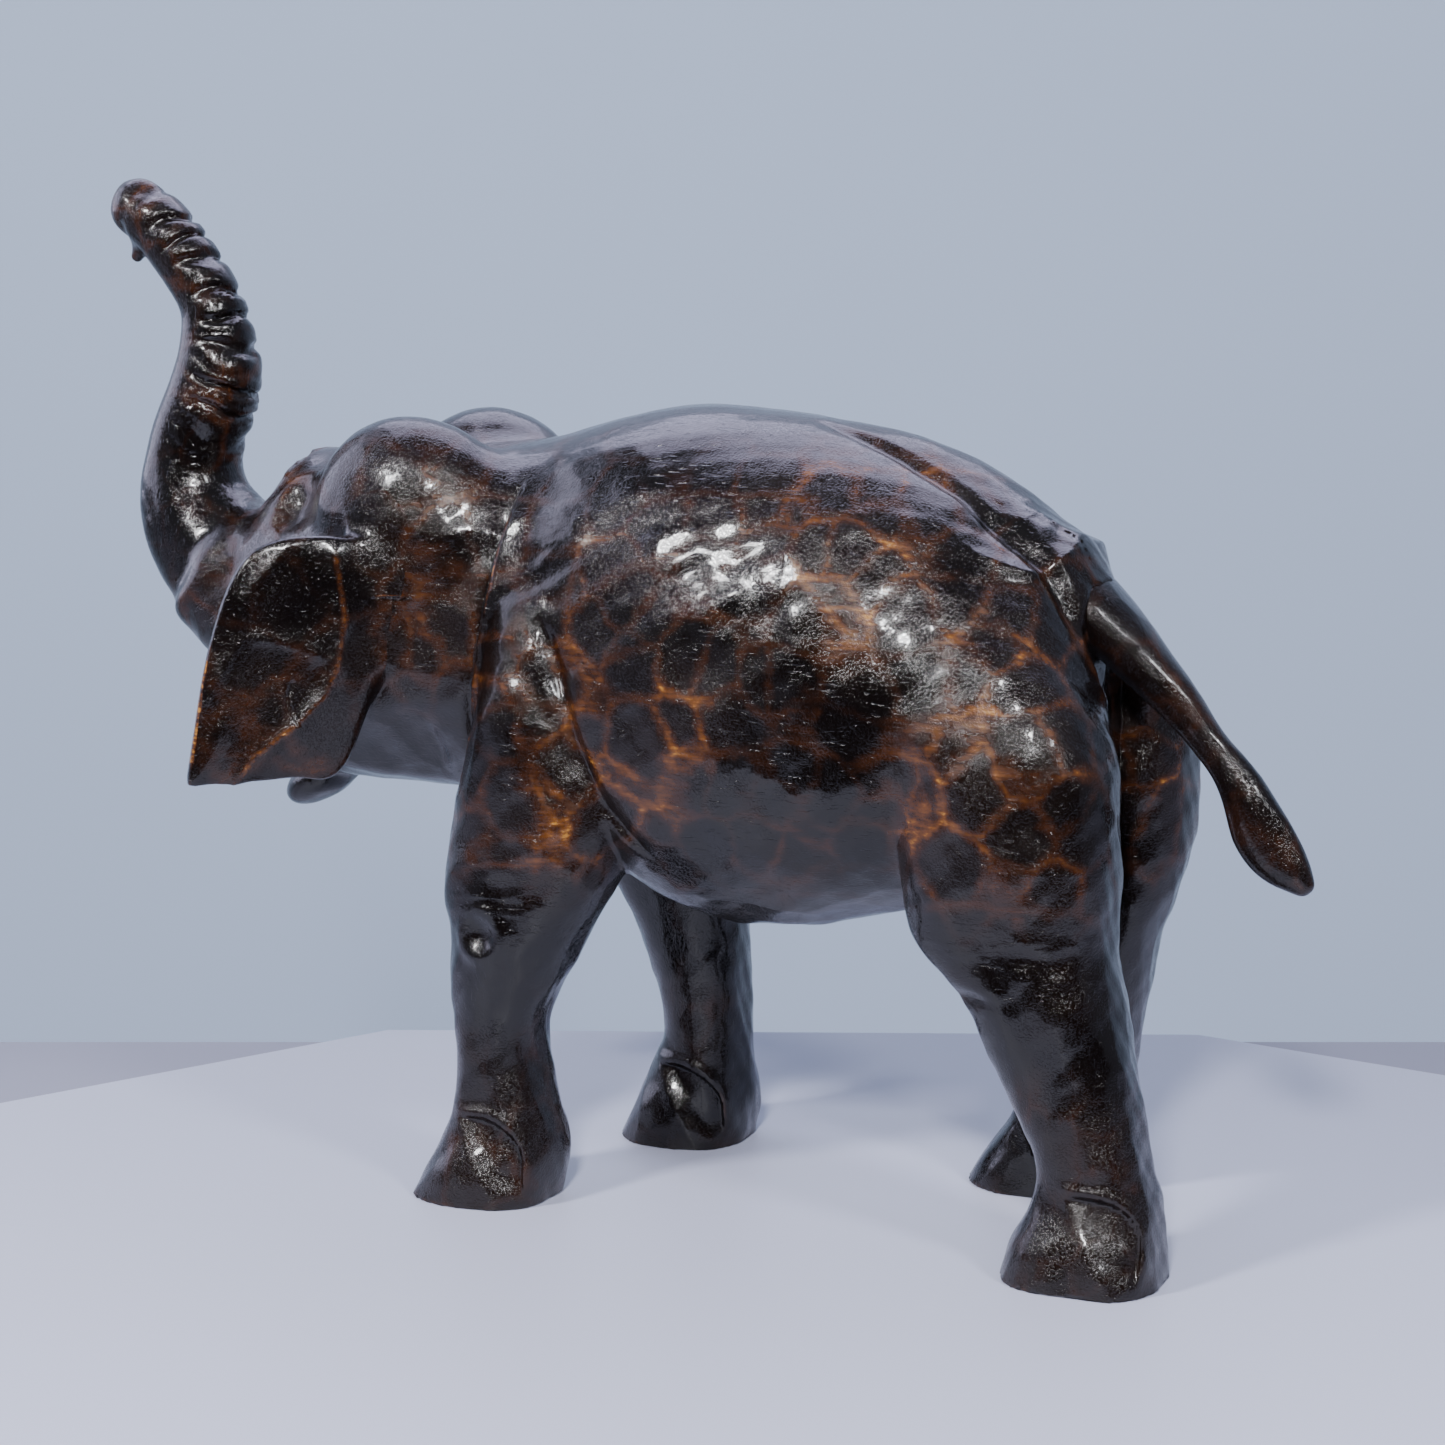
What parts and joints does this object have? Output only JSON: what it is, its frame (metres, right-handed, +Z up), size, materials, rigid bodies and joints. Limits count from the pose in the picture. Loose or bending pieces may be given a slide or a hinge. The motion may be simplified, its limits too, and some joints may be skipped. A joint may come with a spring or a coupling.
{
  "type": "carved wooden elephant figurine",
  "caption": "Free-standing carved wooden elephant in mid stride, trunk raised in an S, ears flared, tail down, dark glossy burned finish.",
  "frame": {"origin": "on the table, in the middle of the figure's length and width", "axes": "+Z up, -Y the way the elephant faces, +X to the elephant's left"},
  "size_m": [0.1376, 0.3302, 0.253],
  "materials": {
    "burned_wood": "high gloss lacquer over burned spots",
    "dowel_wood": "bare, sealed inside the joints"
  },
  "bodies": {
    "root": {"torso": "burned_wood", "head": "burned_wood", "trunk": "burned_wood", "left_ear": "burned_wood", "right_ear": "burned_wood", "tail": "burned_wood", "front_left_leg": "burned_wood", "front_right_leg": "burned_wood", "rear_left_leg": "burned_wood", "rear_right_leg": "burned_wood", "neck_dowels": "dowel_wood", "trunk_dowel": "dowel_wood", "ear_dowels": "dowel_wood", "tail_dowel": "dowel_wood", "leg_dowels": "dowel_wood"}
  },
  "joints": []
}
